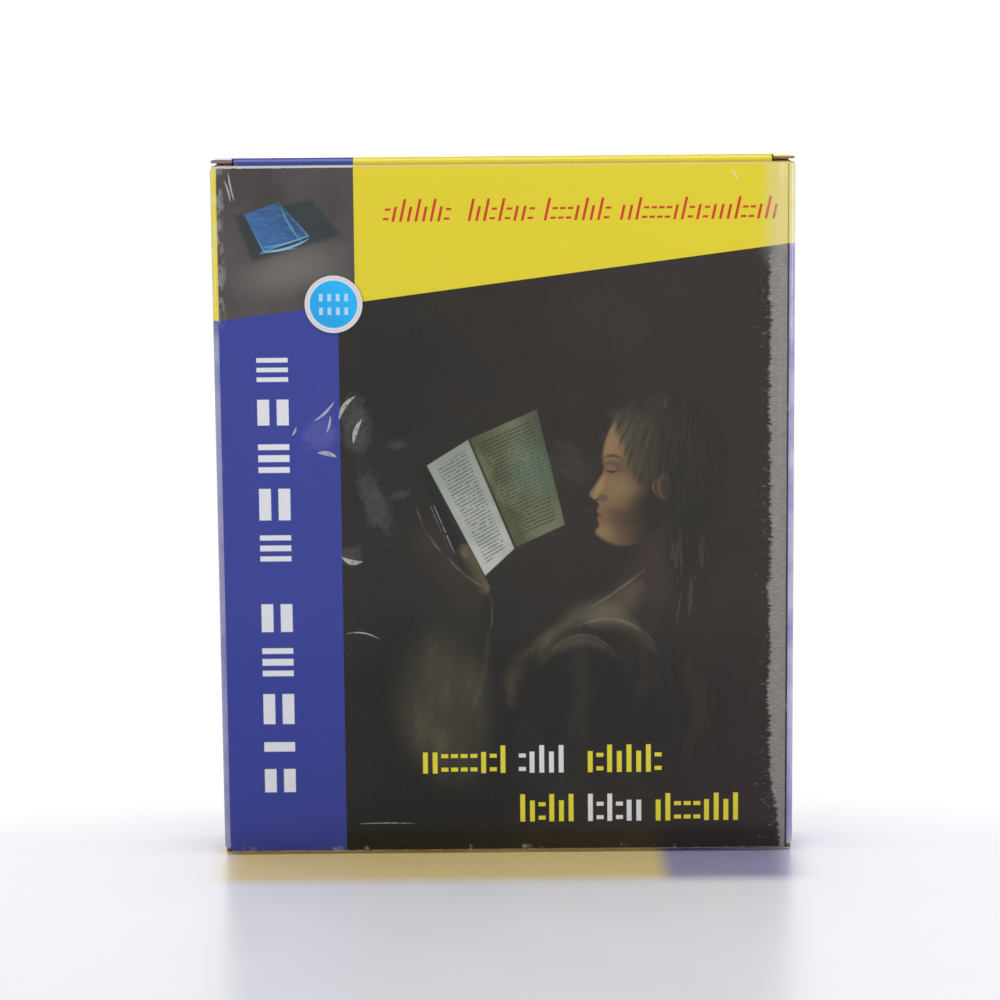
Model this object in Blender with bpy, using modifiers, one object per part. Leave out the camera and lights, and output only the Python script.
"""A printed corrugated tuck carton with a clip-over book light panel inside it.

Frame: origin at the centre of the footprint, +X to the right of the front face, +Z up, the
front face towards -Y. Metres. Run it with blender --background --python part.py.
"""

import math

import bmesh
import bpy
from mathutils import Matrix, Vector

GAP = 0.0003  # between faces that touch

# Carton
WIDTH = 0.200
DEPTH = 0.028
HEIGHT = 0.245
BOARD = 0.0016  # micro-corrugated board with its printed liner
FOLD_R = 0.0024  # outside radius of a crease
FOLD_STEPS = 6
REVEAL = 0.0024  # from the end of a wall's raw edge to the closed lid's outer face
HALF_W = WIDTH / 2
HALF_D = DEPTH / 2
FLAT_X = HALF_W - FOLD_R  # where the wall's flat part ends
FLAT_Y = HALF_D - FOLD_R

# Tuck closure, the same at both ends
LID_HALF_W = HALF_W - 0.0005
EAR_W = 0.0072  # lid ends left straight beside the tuck crease, where the slits lock
EAR_Y = -0.0134
TUCK_HALF_W = 0.0920
TUCK_Y = -0.0095  # where the lid turns down into the tuck flap
TUCK_R = 0.0026
TUCK_LENGTH = 0.0104
TUCK_LEAN = math.radians(24)
TUCK_TAPER_SHARE = 0.25  # the flap's last quarter narrows
TUCK_TAPER_INSET = 0.0025
DUST_Z = HEIGHT - BOARD - GAP  # upper face of the closed dust flaps
DUST_LENGTH = 0.030
DUST_SHOULDER = 0.0050
DUST_SHOULDER_Y = -0.0120
DUST_FRONT_Y = (-0.0086, -0.0075)
DUST_BACK_Y = (0.0109, 0.0022)
DUST_CORNER = 0.0025
GLUE_W = 0.0150
GLUE_MARGIN = 0.0120

# Book light panel: a battery bar with a clear plate standing out of its slot
BAR_LEFT = -0.0940
BAR_W = 0.0340
BAR_HALF_D = 0.0090
LIGHT_Z0 = 0.0200
LIGHT_LENGTH = 0.2050
WALL = 0.0016
BAR_EDGE_R = 0.0030
BAR_RIGHT = BAR_LEFT + BAR_W
LIGHT_Z1 = LIGHT_Z0 + LIGHT_LENGTH
PLATE_RIGHT = 0.0900
PLATE_TONGUE = 0.0040  # depth held inside the bar
PLATE_T = (0.0050, 0.0030)  # at the bar, at the free edge
PLATE_CORNER_R = 0.0045
TONGUE_INSET = 0.0025
SLOT_CLEARANCE = 0.0003

# Battery bay, four AAA cells in two columns
CELL_R = 0.00525
CELL_L = 0.0445
CELL_EDGE = 0.0004
NUB_R = 0.0019
NUB_L = 0.0008
COLUMN_X = (-0.0866, -0.0756)
BAY_Z0 = LIGHT_Z0 + WALL + 0.0004
CONTACT_T = 0.0005
CONTACT_HALF_Y = 0.0050
SPRING_L = 0.0046
SPRING_R = 0.0030
SPRING_WIRE_R = 0.0003
SPRING_TURNS = 4
BULKHEAD_Z = 0.1186
BULKHEAD_T = 0.0010
BULKHEAD_Y = 0.0020
RIB_X = -0.0699
RIB_T = 0.0008
RIB_Y = 0.0040
DOOR_HALF_W = 0.01045
DOOR_X = -0.08075
DOOR_TOP = 0.1177
RIDGE_COUNT = 3
RIDGE_UP = 0.0100  # from the bar's lower end to the first ridge
RIDGE_PITCH = 0.0030
RIDGE_W = 0.0010
RIDGE_PROUD = 0.0005

# Electronics
LED_BOARD_X = RIB_X + RIB_T + GAP
LED_BOARD_T = 0.0010
LED_BOARD_HALF_Y = 0.0032
LED_BOARD_MARGIN = 0.0050  # from the bar's ends to the strip's ends
LED_COUNT = 6
LED_SIZE = (0.0016, 0.0028, 0.0035)
DRIVER_LOW = (-0.0900, -0.0010, 0.1500)
DRIVER_HIGH = (-0.0720, 0.0002, 0.1900)
POST_W = 0.0030
POST_INSET = 0.0006
POST_FROM_END = 0.0040
CHIP_AT = (-0.0765, 0.1720)
CHIP_SIZE = (0.0050, 0.0015, 0.0040)
INDUCTOR_AT = (-0.0850, 0.1620)
INDUCTOR_R = 0.0035
INDUCTOR_L = 0.0040
CAPACITOR_AT = (-0.0850, 0.1820)
CAPACITOR_R = 0.0025
CAPACITOR_L = 0.0054
BUTTON_AT = (-0.0810, 0.1760)
BUTTON_R = 0.0040
BUTTON_EDGE = 0.0005
BUTTON_PROUD = 0.0010
BUTTON_FLANGE_R = 0.0049
BUTTON_FLANGE_T = 0.0008
BUTTON_STEM_R = 0.0015
BUTTON_STEM_L = 0.0008
SWITCH_SIZE = (0.0060, 0.0032, 0.0060)
SCREW_AT = ((-0.0895, 0.1290), (-0.0735, 0.1290), (-0.0895, 0.2170), (-0.0735, 0.2170))
SCREW_R = 0.0010
SCREW_HEAD_R = 0.0019
SCREW_HEAD_L = 0.0015
SCREW_L = 0.0120
BORE_L = 0.0200
SCREW_TIP = 0.0008  # how far the point stops short of the bore's end
SCREW_POINT_L = 0.0012
SCREW_SEAT_Y = 0.0060
SEAT_DEPTH = 0.0100
BOSS_R = 0.0032
LEAD_R = 0.0006
BATTERY_LEAD_FROM = (COLUMN_X[0] + 0.0028, COLUMN_X[1] - 0.0030)  # red, black
BATTERY_LEAD_TO = (-0.0846, -0.0776)
BATTERY_LEAD_BOW = (0.0010, -0.0010)
LED_LEAD_Z = (0.1850, 0.1880)
LED_LEAD_RISE = (0.0100, 0.0105)

# Foam end caps that hold the plate's two ends
CAP_X = (-0.0520, 0.0880)
CAP_HALF_D = 0.0118
CAP_STEP_Y = 0.0050  # the half that clears the tuck flap ends here
CAP_STEP = 0.0112
CAP_FOOT = 0.0038
CAP_SLOT_DEPTH = 0.0100

PARTS = "Book_Light_Carton"
HELPERS = "Cutters"


def clear_scene():
    for obj in list(bpy.data.objects):
        bpy.data.objects.remove(obj, do_unlink=True)


def new_collection(name):
    collection = bpy.data.collections.new(name)
    bpy.context.scene.collection.children.link(collection)
    return collection


def new_material(name, colour, roughness, metallic=0.0, alpha=1.0):
    material = bpy.data.materials.new(name)
    material.use_nodes = True
    shader = material.node_tree.nodes["Principled BSDF"]
    shader.inputs["Base Color"].default_value = (*colour, 1.0)
    shader.inputs["Roughness"].default_value = roughness
    shader.inputs["Metallic"].default_value = metallic
    shader.inputs["Alpha"].default_value = alpha
    return material


def link(obj, material=None, parent=None, collection=PARTS):
    bpy.data.collections[collection].objects.link(obj)
    obj.parent = parent
    if material:
        obj.data.materials.append(material)
    return obj


def new_empty(name, location, parent=None, rotation=(0, 0, 0)):
    empty = bpy.data.objects.new(name, None)
    empty.location = location
    empty.rotation_euler = rotation
    return link(empty, parent=parent, collection=HELPERS)


def mesh_from(bm, name):
    mesh = bpy.data.meshes.new(name)
    bm.to_mesh(mesh)
    bm.free()
    return mesh


def smooth(mesh, degrees=40):
    mesh.shade_smooth()
    mesh.set_sharp_from_angle(angle=math.radians(degrees))


def box(name, low, high, material=None, bevelled=None, radius=0.0, segments=3):
    """A box between two corners. bevelled(edge) picks the edges that are rounded."""
    size = Vector(high) - Vector(low)
    bm = bmesh.new()
    bmesh.ops.create_cube(bm, size=1.0)
    bmesh.ops.scale(bm, vec=size, verts=bm.verts)
    if bevelled:
        edges = [edge for edge in bm.edges if bevelled(edge)]
        bmesh.ops.bevel(
            bm, geom=edges, offset=radius, segments=segments, profile=0.5, affect="EDGES"
        )
    obj = bpy.data.objects.new(name, mesh_from(bm, name))
    smooth(obj.data)
    obj.location = (Vector(low) + Vector(high)) / 2
    return link(obj, material, collection=PARTS if material else HELPERS)


def cylinder(name, centre, radius, length, material=None, sides=24):
    """A cylinder along Y."""
    bm = bmesh.new()
    bmesh.ops.create_cone(
        bm, cap_ends=True, segments=sides, radius1=radius, radius2=radius, depth=length
    )
    obj = bpy.data.objects.new(name, mesh_from(bm, name))
    smooth(obj.data)
    obj.location = centre
    obj.rotation_euler = (math.pi / 2, 0, 0)
    return link(obj, material, collection=PARTS if material else HELPERS)


def turned(name, profile, location, rotation, material, steps=20):
    """A solid of revolution about its own Z. The profile runs from its top down to its bottom."""
    bm = bmesh.new()
    verts = [bm.verts.new((radius, 0, height)) for radius, height in profile]
    for upper, lower in zip(verts, verts[1:]):
        bm.edges.new((upper, lower))
    obj = bpy.data.objects.new(name, mesh_from(bm, name))
    screw = obj.modifiers.new("Turn", "SCREW")
    screw.steps = steps
    screw.render_steps = steps
    screw.use_merge_vertices = True
    screw.merge_threshold = 0.00001
    obj.location = location
    obj.rotation_euler = rotation
    return link(obj, material)


def outline(name, points, thickness, location, rotation, material, parent=None):
    """A flat sheet: a closed outline in its own XY plane, with half its thickness to each side."""
    curve = bpy.data.curves.new(name, "CURVE")
    curve.dimensions = "2D"
    curve.fill_mode = "BOTH"
    curve.extrude = thickness / 2
    spline = curve.splines.new("POLY")
    spline.points.add(len(points) - 1)
    for point, (x, y) in zip(spline.points, points):
        point.co = (x, y, 0, 1)
    spline.use_cyclic_u = True
    obj = bpy.data.objects.new(name, curve)
    obj.location = location
    obj.rotation_euler = rotation
    return link(obj, material, parent)


def tube(name, points, radius, material):
    curve = bpy.data.curves.new(name, "CURVE")
    curve.dimensions = "3D"
    curve.bevel_depth = radius
    curve.bevel_resolution = 2
    curve.use_fill_caps = True
    spline = curve.splines.new("POLY")
    spline.points.add(len(points) - 1)
    for point, place in zip(spline.points, points):
        point.co = (*place, 1)
    return link(bpy.data.objects.new(name, curve), material)


def combine(obj, other, operation):
    modifier = obj.modifiers.new(f"{operation.title()} {other.name}", "BOOLEAN")
    modifier.operation = operation
    modifier.solver = "EXACT"
    modifier.object = other
    other.hide_render = True
    other.display_type = "WIRE"
    return obj


def cut(obj, *cutters):
    for cutter in cutters:
        combine(obj, cutter, "DIFFERENCE")


def join(obj, *others):
    for other in others:
        combine(obj, other, "UNION")


def arc(centre, radius, start, end, steps):
    """Points on an arc in a plane, both ends included. Degrees."""
    angles = [math.radians(start + (end - start) * i / steps) for i in range(steps + 1)]
    return [
        (centre[0] + radius * math.cos(angle), centre[1] + radius * math.sin(angle))
        for angle in angles
    ]


def smooth_route(points, per_span=4):
    """Points read from a Catmull-Rom curve through the given ones."""
    padded = [points[0], *points, points[-1]]
    found = []
    for a, b, c, d in zip(padded, padded[1:], padded[2:], padded[3:]):
        a, b, c, d = (Vector(p) for p in (a, b, c, d))
        for i in range(per_span):
            t = i / per_span
            found.append(
                0.5
                * (
                    2 * b
                    + (c - a) * t
                    + (2 * a - 5 * b + 4 * c - d) * t**2
                    + (3 * b - a - 3 * c + d) * t**3
                )
            )
    return [*found, Vector(points[-1])]


# Board sheets are open surfaces of the outside face, thickened inwards.


def flat_sheet(x0, x1, z0, z1, y):
    """A mesh with one upright face at y, and that face's edges by side."""
    bm = bmesh.new()
    bmesh.ops.create_grid(bm, x_segments=1, y_segments=1, size=0.5)
    place = Matrix.Translation(((x0 + x1) / 2, y, (z0 + z1) / 2))
    turn = Matrix.Rotation(math.pi / 2, 4, "X")
    stretch = Matrix.Diagonal((x1 - x0, 1, z1 - z0, 1))
    bmesh.ops.transform(bm, matrix=place @ stretch @ turn, verts=bm.verts)
    sides = {}
    for edge in bm.edges:
        middle = (edge.verts[0].co + edge.verts[1].co) / 2
        across = abs(middle.x - (x0 + x1) / 2) > abs(x1 - x0) / 4
        if across:
            sides["left" if middle.x < (x0 + x1) / 2 else "right"] = edge
        else:
            sides["bottom" if middle.z < (z0 + z1) / 2 else "top"] = edge
    return bm, sides


def fold(bm, edge, pivot, axis, degrees):
    """Carries a sheet's edge round a crease."""
    bmesh.ops.spin(
        bm,
        geom=[edge, *edge.verts],
        cent=pivot,
        axis=axis,
        angle=math.radians(degrees),
        steps=FOLD_STEPS,
        use_merge=False,
        use_duplicate=False,
    )


def thicken(name, bm, outward, material, parent, location=(0, 0, 0)):
    """Closes a sheet whose first face looks along outward."""
    bmesh.ops.remove_doubles(bm, verts=bm.verts, dist=0.00001)
    bmesh.ops.recalc_face_normals(bm, faces=bm.faces)
    bm.faces.ensure_lookup_table()
    largest = max(bm.faces, key=lambda face: face.calc_area())
    if largest.normal.dot(Vector(outward)) < 0:
        bmesh.ops.reverse_faces(bm, faces=bm.faces)
    obj = bpy.data.objects.new(name, mesh_from(bm, name))
    obj.location = location
    solidify = obj.modifiers.new("Board", "SOLIDIFY")
    solidify.thickness = BOARD
    solidify.offset = -1
    solidify.use_even_offset = True
    return link(obj, material, parent)


def long_wall(name, end, material):
    """The front or back wall, with half of each corner and its own lid's crease below it."""
    bm, sides = flat_sheet(-FLAT_X, FLAT_X, FOLD_R, HEIGHT - REVEAL, -HALF_D)
    fold(bm, sides["left"], (-FLAT_X, -FLAT_Y, 0), (0, 0, 1), -90)
    fold(bm, sides["right"], (FLAT_X, -FLAT_Y, 0), (0, 0, 1), 90)
    fold(bm, sides["bottom"], (0, -FLAT_Y, FOLD_R), (1, 0, 0), 90)
    thicken(name, bm, (0, -1, 0), material, end)


def side_wall(name, side, material):
    """A narrow side wall with the creases of its two dust flaps. side is -1 left, 1 right."""
    reach = FLAT_Y - GAP
    low = HEIGHT - DUST_Z + FOLD_R
    high = DUST_Z - FOLD_R
    bm, sides = flat_sheet(-reach, reach, low, high, -HALF_W)
    fold(bm, sides["top"], (0, -FLAT_X, high), (1, 0, 0), -90)
    fold(bm, sides["bottom"], (0, -FLAT_X, low), (1, 0, 0), 90)
    bmesh.ops.rotate(
        bm,
        verts=bm.verts,
        cent=(0, 0, 0),
        matrix=Matrix.Rotation(side * math.pi / 2, 3, "Z"),
    )
    thicken(name, bm, (side, 0, 0), material, None)


def glue_flap(material):
    """The maker's joint: a strip folded from the left wall and glued inside the back wall."""
    left = -HALF_W + BOARD + 2 * FOLD_R / 3
    low = GLUE_MARGIN
    high = HEIGHT - GLUE_MARGIN
    taper = GLUE_W / 3
    points = [
        (left, low),
        (left + GLUE_W, low + taper),
        (left + GLUE_W, high - taper),
        (left, high),
    ]
    y = HALF_D - BOARD - GAP - BOARD / 2
    outline("glue_flap", points, BOARD, (0, y, 0), (math.pi / 2, 0, 0), material)


def lid_outline():
    """From the lid's crease at the back to the slit-lock ears at its front corners."""
    back = -GAP
    front = TUCK_Y + GAP - FLAT_Y
    ear = EAR_Y - FLAT_Y
    inner = LID_HALF_W - EAR_W
    right = [(LID_HALF_W, back), (LID_HALF_W, ear), (inner, ear), (inner, front)]
    return right + [(-x, y) for x, y in reversed(right)]


def tuck_sheet():
    """The tuck crease and its flap, about the crease's start on the lid's outer face."""
    bm = bmesh.new()
    ends = [bm.verts.new((x, 0, 0)) for x in (-TUCK_HALF_W, TUCK_HALF_W)]
    edge = bm.edges.new(ends)
    bmesh.ops.spin(
        bm,
        geom=[edge, *ends],
        cent=(0, 0, -TUCK_R),
        axis=(1, 0, 0),
        angle=math.pi / 2 + TUCK_LEAN,
        steps=FOLD_STEPS,
        use_merge=False,
        use_duplicate=False,
    )
    bm.verts.ensure_lookup_table()
    last = min(bm.edges, key=lambda e: sum(v.co.z for v in e.verts))
    for share, inset in ((1 - TUCK_TAPER_SHARE, 0.0), (TUCK_TAPER_SHARE, TUCK_TAPER_INSET)):
        grown = bmesh.ops.extrude_edge_only(bm, edges=[last])["geom"]
        last = min(
            (item for item in grown if isinstance(item, bmesh.types.BMEdge)),
            key=lambda e: abs(abs(e.verts[0].co.x - e.verts[1].co.x) - 2 * TUCK_HALF_W),
        )
        run = TUCK_LENGTH * share
        step = Vector((0, math.sin(TUCK_LEAN), -math.cos(TUCK_LEAN))) * run
        for vert in last.verts:
            vert.co += step
            vert.co.x -= math.copysign(inset, vert.co.x)
    return bm


def dust_outline(side):
    """A dust flap about its crease, reaching inwards along +X from the left wall."""
    front = DUST_FRONT_Y
    back = DUST_BACK_Y
    end = DUST_LENGTH
    points = [
        (GAP, back[0]),
        (GAP, DUST_SHOULDER_Y),
        (DUST_SHOULDER, DUST_SHOULDER_Y),
        (DUST_SHOULDER, front[0]),
        (end - DUST_CORNER, front[1]),
        (end, front[1] + DUST_CORNER),
        (end, back[1] - DUST_CORNER),
        (end - DUST_CORNER, back[1]),
    ]
    return [(-side * x, y) for x, y in points]


def closure(prefix, end, printed, liner):
    """One end of the carton: the lid, its tuck flap and the two dust flaps under it."""
    lid_hinge = new_empty(f"{prefix}_lid_crease", (0, FLAT_Y, HEIGHT), end)
    flat = (0, 0, 0)
    outline(
        f"{prefix}_lid", lid_outline(), BOARD, (0, 0, -BOARD / 2), flat, printed, lid_hinge
    )
    tuck_at = (0, TUCK_Y - FLAT_Y, 0)
    thicken(f"{prefix}_tuck_flap", tuck_sheet(), (0, -1, 0), printed, lid_hinge, tuck_at)
    for side, word in ((-1, "left"), (1, "right")):
        crease = new_empty(f"{prefix}_dust_{word}_crease", (side * FLAT_X, 0, DUST_Z), end)
        outline(
            f"{prefix}_dust_flap_{word}",
            dust_outline(side),
            BOARD,
            (0, 0, -BOARD / 2),
            flat,
            liner,
            crease,
        )


def build_carton():
    printed = new_material("Printed board", (0.68, 0.58, 0.05), 0.25)
    liner = new_material("Kraft liner", (0.33, 0.20, 0.10), 0.9)
    upright = new_empty("upright_end", (0, 0, 0))
    inverted = new_empty("inverted_end", (0, 0, HEIGHT), rotation=(math.pi, 0, 0))
    long_wall("front_panel", upright, printed)
    long_wall("back_panel", inverted, printed)
    side_wall("left_panel", -1, printed)
    side_wall("right_panel", 1, printed)
    glue_flap(liner)
    closure("top", upright, printed, liner)
    closure("bottom", inverted, printed, liner)


def plate_thickness(x):
    share = min(max((x - BAR_RIGHT) / (PLATE_RIGHT - BAR_RIGHT), 0), 1)
    return PLATE_T[0] + (PLATE_T[1] - PLATE_T[0]) * share


def light_plate():
    """Clear acrylic, thinner towards its free edge, with a tongue inside the bar."""
    acrylic = new_material("Clear acrylic", (0.9, 0.95, 0.95), 0.05, alpha=0.35)
    root = BAR_RIGHT + SLOT_CLEARANCE
    tongue = BAR_RIGHT - PLATE_TONGUE
    radius = PLATE_CORNER_R
    far = PLATE_RIGHT - radius
    points = [
        (tongue, LIGHT_Z0 + TONGUE_INSET),
        (root, LIGHT_Z0 + TONGUE_INSET),
        (root, LIGHT_Z0),
        *arc((far, LIGHT_Z0 + radius), radius, -90, 0, 5),
        *arc((far, LIGHT_Z1 - radius), radius, 0, 90, 5),
        (root, LIGHT_Z1),
        (root, LIGHT_Z1 - TONGUE_INSET),
        (tongue, LIGHT_Z1 - TONGUE_INSET),
    ]
    turn = (math.pi / 2, 0, 0)
    blank = outline("plate_blank", points, PLATE_T[0], (0, 0, 0), turn, acrylic)
    graph = bpy.context.evaluated_depsgraph_get()
    mesh = bpy.data.meshes.new_from_object(blank.evaluated_get(graph))
    bm = bmesh.new()
    bm.from_mesh(mesh)
    bmesh.ops.remove_doubles(bm, verts=bm.verts, dist=0.00001)
    for vert in bm.verts:
        vert.co.z *= plate_thickness(vert.co.x) / PLATE_T[0]
    bm.to_mesh(mesh)
    bm.free()
    plate = bpy.data.objects.new("light_plate", mesh)
    plate.matrix_world = blank.matrix_world
    plate.rotation_euler = turn
    bpy.data.objects.remove(blank, do_unlink=True)
    link(plate)


def bar_half(name, side, material):
    """Half of the bar's casing, open towards the split plane. side is -1 front, 1 rear."""
    outer = sorted((side * GAP / 2, side * BAR_HALF_D))

    def on_outer_face(edge):
        return all(vert.co.y * side > 0 for vert in edge.verts)

    shell = box(
        name,
        (BAR_LEFT, outer[0], LIGHT_Z0),
        (BAR_RIGHT, outer[1], LIGHT_Z1),
        material,
        on_outer_face,
        BAR_EDGE_R,
    )
    inner = sorted((-side * 0.001, side * (BAR_HALF_D - WALL)))
    hollow = box(
        f"{name}_hollow",
        (BAR_LEFT + WALL, inner[0], LIGHT_Z0 + WALL),
        (BAR_RIGHT - WALL, inner[1], LIGHT_Z1 - WALL),
    )
    slot_half = PLATE_T[0] / 2 + SLOT_CLEARANCE
    inset = TONGUE_INSET - 2 * SLOT_CLEARANCE
    slot = box(
        f"{name}_plate_slot",
        (BAR_RIGHT - 2 * WALL, -slot_half, LIGHT_Z0 + inset),
        (BAR_RIGHT + WALL, slot_half, LIGHT_Z1 - inset),
    )
    cut(shell, hollow, slot)
    return shell


def front_shell(material):
    """Carries the bulkhead, the rib behind the LEDs, four screw bosses and the driver's posts."""
    shell = bar_half("handle_front_shell", -1, material)
    wall_y = -BAR_HALF_D + WALL / 2
    bulkhead = box(
        "bulkhead",
        (BAR_LEFT + WALL + GAP, wall_y, BULKHEAD_Z),
        (RIB_X + RIB_T / 2, BULKHEAD_Y, BULKHEAD_Z + BULKHEAD_T),
    )
    rib = box(
        "led_rib",
        (RIB_X, wall_y, LIGHT_Z0 + 2 * WALL),
        (RIB_X + RIB_T, RIB_Y, LIGHT_Z1 - 2 * WALL),
    )
    join(shell, bulkhead, rib)
    for index, (x, z) in enumerate(SCREW_AT, 1):
        length = -GAP - wall_y
        centre = (x, wall_y + length / 2, z)
        join(shell, cylinder(f"front_boss_{index}", centre, BOSS_R - WALL / 2, length))
        bore_y = SCREW_SEAT_Y - SCREW_L / 2 - GAP
        cut(shell, cylinder(f"front_bore_{index}", (x, bore_y, z), SCREW_R + GAP, SCREW_L))
    left = DRIVER_LOW[0] + POST_INSET
    for index, z in enumerate((DRIVER_LOW[2] + POST_FROM_END, DRIVER_HIGH[2] - POST_FROM_END), 1):
        low = (left, wall_y, z - POST_W / 2)
        high = (left + POST_W, DRIVER_LOW[1] - GAP, z + POST_W / 2)
        join(shell, box(f"driver_post_{index}", low, high))
    x, z = BUTTON_AT
    hole_at = (x, -BAR_HALF_D + WALL / 2, z)
    cut(shell, cylinder("button_hole", hole_at, BUTTON_R + GAP, 2 * WALL, sides=28))


def rear_shell(material):
    """Open over the battery bay down to its lower end, with the four screw seats."""
    shell = bar_half("handle_rear_shell", 1, material)
    for index, (x, z) in enumerate(SCREW_AT, 1):
        length = BAR_HALF_D - WALL / 2 - GAP
        centre = (x, GAP + length / 2, z)
        join(shell, cylinder(f"rear_boss_{index}", centre, BOSS_R, length))
        cut(shell, cylinder(f"rear_bore_{index}", (x, 0, z), SCREW_R + GAP, BORE_L))
        seat_at = (x, SCREW_SEAT_Y + SEAT_DEPTH / 2, z)
        cut(shell, cylinder(f"rear_seat_{index}", seat_at, SCREW_HEAD_R + GAP, SEAT_DEPTH))
    doorway = box(
        "doorway",
        (DOOR_X - DOOR_HALF_W - GAP, BAR_HALF_D - WALL - GAP, LIGHT_Z0 - WALL),
        (DOOR_X + DOOR_HALF_W + GAP, BAR_HALF_D + WALL, DOOR_TOP + GAP),
    )
    cut(shell, doorway)


def battery_door(material):
    """A slide-off cover with three grip ridges near its lower end."""
    low = (DOOR_X - DOOR_HALF_W, BAR_HALF_D - WALL, LIGHT_Z0 + GAP)
    high = (DOOR_X + DOOR_HALF_W, BAR_HALF_D, DOOR_TOP)
    door = box("battery_door", low, high, material)
    for index in range(RIDGE_COUNT):
        z = LIGHT_Z0 + RIDGE_UP + RIDGE_PITCH * index
        ridge_low = (DOOR_X - DOOR_HALF_W / 2, BAR_HALF_D - WALL / 2, z)
        ridge_high = (DOOR_X + DOOR_HALF_W / 2, BAR_HALF_D + RIDGE_PROUD, z + RIDGE_W)
        join(door, box(f"door_ridge_{index + 1}", ridge_low, ridge_high))


def battery(name, x, z, nub_up, material):
    """An AAA cell standing on z."""
    profile = [
        (0, CELL_L),
        (NUB_R, CELL_L),
        (NUB_R, CELL_L - NUB_L),
        (CELL_R - CELL_EDGE, CELL_L - NUB_L),
        (CELL_R, CELL_L - NUB_L - CELL_EDGE),
        (CELL_R, CELL_EDGE),
        (CELL_R - CELL_EDGE, 0),
        (0, 0),
    ]
    turn = (0, 0, 0) if nub_up else (math.pi, 0, 0)
    turned(name, profile, (x, 0, z if nub_up else z + CELL_L), turn, material)


def coil_spring(name, x, z, material):
    count = SPRING_TURNS * 10
    rise = SPRING_L - 2 * SPRING_WIRE_R
    points = []
    for i in range(count + 1):
        angle = 2 * math.pi * SPRING_TURNS * i / count
        height = z + SPRING_WIRE_R + rise * i / count
        points.append((x + SPRING_R * math.cos(angle), SPRING_R * math.sin(angle), height))
    tube(name, points, SPRING_WIRE_R, material)


def contact(name, x0, x1, z, material):
    box(name, (x0, -CONTACT_HALF_Y, z), (x1, CONTACT_HALF_Y, z + CONTACT_T), material)


def battery_bay():
    """Column 1 stands on the bridge spring, column 2 hangs from the negative spring."""
    wrapper = new_material("Battery wrapper", (0.55, 0.56, 0.58), 0.35, 0.6)
    plated = new_material("Plated steel", (0.75, 0.75, 0.73), 0.3, 1.0)
    first, second = COLUMN_X
    reach = CELL_R - GAP
    floor = BAY_Z0 + CONTACT_T + GAP
    contact("bridge_contact", first - reach, second + reach, BAY_Z0, plated)
    coil_spring("bridge_spring", first, floor, plated)
    standing = floor + SPRING_L + GAP
    battery("battery_1", first, standing, True, wrapper)
    battery("battery_2", first, standing + CELL_L + GAP, True, wrapper)
    battery("battery_3", second, floor, False, wrapper)
    battery("battery_4", second, floor + CELL_L + GAP, False, wrapper)
    top = floor + SPRING_L + 2 * CELL_L + 3 * GAP
    coil_spring("negative_spring", second, top - GAP - SPRING_L, plated)
    contact("positive_contact", first - reach, first + reach, top, plated)
    contact("negative_contact", second - reach, second + reach, top, plated)


def electronics():
    """The LED strip along the plate's edge, and the driver board with its switch."""
    board = new_material("Circuit board", (0.02, 0.15, 0.06), 0.5)
    package = new_material("Component package", (0.03, 0.03, 0.035), 0.5)
    phosphor = new_material("LED phosphor", (0.85, 0.75, 0.25), 0.4)
    sleeve = new_material("Capacitor sleeve", (0.02, 0.04, 0.15), 0.3)
    x = LED_BOARD_X
    low = (x, -LED_BOARD_HALF_Y, LIGHT_Z0 + LED_BOARD_MARGIN)
    high = (x + LED_BOARD_T, LED_BOARD_HALF_Y, LIGHT_Z1 - LED_BOARD_MARGIN)
    box("led_board", low, high, board)
    pitch = (LIGHT_LENGTH - 2 * LED_BOARD_MARGIN) / LED_COUNT
    depth, across, along = LED_SIZE
    for index in range(LED_COUNT):
        z = LIGHT_Z0 + LED_BOARD_MARGIN + pitch * (index + 0.5)
        face = x + LED_BOARD_T + GAP
        low = (face, -across / 2, z - along / 2)
        high = (face + depth, across / 2, z + along / 2)
        box(f"led_{index + 1}", low, high, phosphor)
    box("driver_board", DRIVER_LOW, DRIVER_HIGH, board)
    top = DRIVER_HIGH[1] + GAP
    wide, thick, tall = CHIP_SIZE
    low = (CHIP_AT[0] - wide / 2, top, CHIP_AT[1] - tall / 2)
    high = (CHIP_AT[0] + wide / 2, top + thick, CHIP_AT[1] + tall / 2)
    box("driver_chip", low, high, package)
    for name, (x, z), radius, length, material in (
        ("driver_inductor", INDUCTOR_AT, INDUCTOR_R, INDUCTOR_L, package),
        ("driver_capacitor", CAPACITOR_AT, CAPACITOR_R, CAPACITOR_L, sleeve),
    ):
        cylinder(name, (x, top + length / 2, z), radius, length, material)
    x, z = BUTTON_AT
    wide, thick, tall = SWITCH_SIZE
    back = DRIVER_LOW[1] - GAP
    low = (x - wide / 2, back - thick, z - tall / 2)
    high = (x + wide / 2, back, z + tall / 2)
    box("switch_body", low, high, package)


def power_button(material):
    """A push button held behind the front shell by its flange, its stem over the switch."""
    face = BAR_HALF_D + BUTTON_PROUD
    flange = BAR_HALF_D - WALL - GAP
    stem = flange - BUTTON_FLANGE_T
    profile = [
        (0, face),
        (BUTTON_R - BUTTON_EDGE, face),
        (BUTTON_R, face - BUTTON_EDGE),
        (BUTTON_R, flange),
        (BUTTON_FLANGE_R, flange),
        (BUTTON_FLANGE_R, stem),
        (BUTTON_STEM_R, stem),
        (BUTTON_STEM_R, stem - BUTTON_STEM_L),
        (0, stem - BUTTON_STEM_L),
    ]
    x, z = BUTTON_AT
    turned("power_button", profile, (x, 0, z), (math.pi / 2, 0, 0), material, 24)


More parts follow.
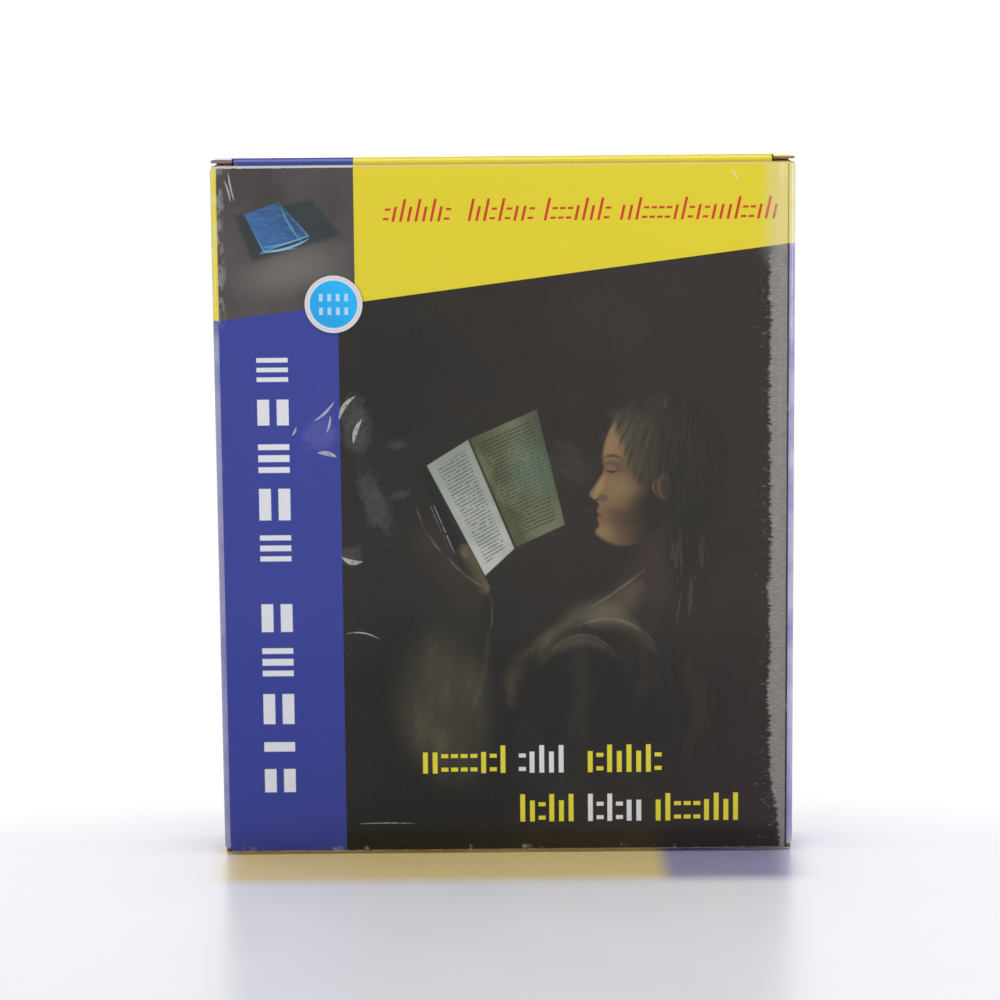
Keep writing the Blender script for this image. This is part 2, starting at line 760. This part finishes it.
def screws():
    steel = new_material("Screw steel", (0.35, 0.35, 0.36), 0.35, 1.0)
    head = SCREW_SEAT_Y + GAP
    point = head - SCREW_L + SCREW_TIP
    profile = [
        (0, head + SCREW_HEAD_L),
        (SCREW_HEAD_R * 0.7, head + SCREW_HEAD_L),
        (SCREW_HEAD_R, head + SCREW_HEAD_L / 2),
        (SCREW_HEAD_R, head),
        (SCREW_R, head),
        (SCREW_R, point + SCREW_POINT_L),
        (0, point),
    ]
    for index, (x, z) in enumerate(SCREW_AT, 1):
        turned(f"screw_{index}", profile, (x, 0, z), (-math.pi / 2, 0, 0), steel, 14)


def battery_leads(materials):
    """From the bay's contacts over the bulkhead to the driver board."""
    start_z = BULKHEAD_Z - LEAD_R / 3
    over = BULKHEAD_Y + 2 * LEAD_R
    down = DRIVER_LOW[2]
    for index, word in enumerate(("red", "black")):
        x = BATTERY_LEAD_FROM[index]
        to_x = BATTERY_LEAD_TO[index]
        route = [
            (x, over, start_z),
            (x, over + LEAD_R, start_z + 10 * LEAD_R),
            (x + BATTERY_LEAD_BOW[index], over, start_z + 0.014),
            (to_x, 0.0022, down - 10 * LEAD_R),
            (to_x, 2 * LEAD_R, down + 0.002),
        ]
        tube(f"battery_lead_{word}", smooth_route(route), LEAD_R, materials[index])


def led_leads(materials):
    """From the driver board over the rib to the LED strip."""
    over = RIB_Y + 2 * LEAD_R
    driver_x = DRIVER_HIGH[0]
    driver_out = DRIVER_HIGH[1] + GAP + LEAD_R
    strip_out = LED_BOARD_X + LED_BOARD_T + GAP + LEAD_R
    for index, word in enumerate(("red", "black")):
        z = LED_LEAD_Z[index]
        rise = LED_LEAD_RISE[index]
        route = [
            (driver_x - 0.003, driver_out, z),
            (driver_x - 0.0005, driver_out + 2 * LEAD_R, z + rise / 4),
            (RIB_X - RIB_T, over + LEAD_R / 2, z + rise / 2),
            (RIB_X + 2 * RIB_T, over + 0.0005, z + rise * 0.8),
            (strip_out + 0.0004, RIB_Y - LEAD_R / 3, z + rise),
            (strip_out, LED_BOARD_HALF_Y - 3 * LEAD_R, z + rise),
        ]
        tube(f"led_lead_{word}", smooth_route(route), LEAD_R, materials[index])


def leads():
    red = new_material("Red insulation", (0.5, 0.02, 0.02), 0.45)
    black = new_material("Black insulation", (0.02, 0.02, 0.02), 0.45)
    battery_leads((red, black))
    led_leads((red, black))


def end_cap(name, end, foam):
    """A foam block with a slot for the plate's end. It is stepped to clear the tuck flap."""
    slot_half = PLATE_T[0] / 2 + SLOT_CLEARANCE
    plate_end = HEIGHT - LIGHT_Z1 - SLOT_CLEARANCE
    mouth = plate_end + CAP_SLOT_DEPTH
    depth = CAP_HALF_D
    step = CAP_FOOT + CAP_STEP
    profile = [
        (-depth, CAP_FOOT),
        (CAP_STEP_Y, CAP_FOOT),
        (CAP_STEP_Y, step),
        (depth, step),
        (depth, mouth),
        (slot_half, mouth),
        (slot_half, plate_end),
        (-slot_half, plate_end),
        (-slot_half, mouth),
        (-depth, mouth),
    ]
    length = CAP_X[1] - CAP_X[0]
    turn = (math.pi / 2, 0, math.pi / 2)
    outline(name, profile, length, ((CAP_X[0] + CAP_X[1]) / 2, 0, 0), turn, foam, end)


def build_light():
    shell = new_material("Black casing", (0.02, 0.02, 0.022), 0.4)
    button = new_material("Button plastic", (0.35, 0.36, 0.38), 0.35)
    light_plate()
    front_shell(shell)
    rear_shell(shell)
    battery_door(shell)
    battery_bay()
    electronics()
    power_button(button)
    screws()
    leads()


def build_packing():
    foam = new_material("White foam", (0.85, 0.85, 0.83), 0.8)
    upright = bpy.data.objects["upright_end"]
    inverted = bpy.data.objects["inverted_end"]
    end_cap("end_cap_bottom", upright, foam)
    end_cap("end_cap_top", inverted, foam)


def main():
    clear_scene()
    new_collection(PARTS)
    new_collection(HELPERS)
    build_carton()
    build_light()
    build_packing()


main()
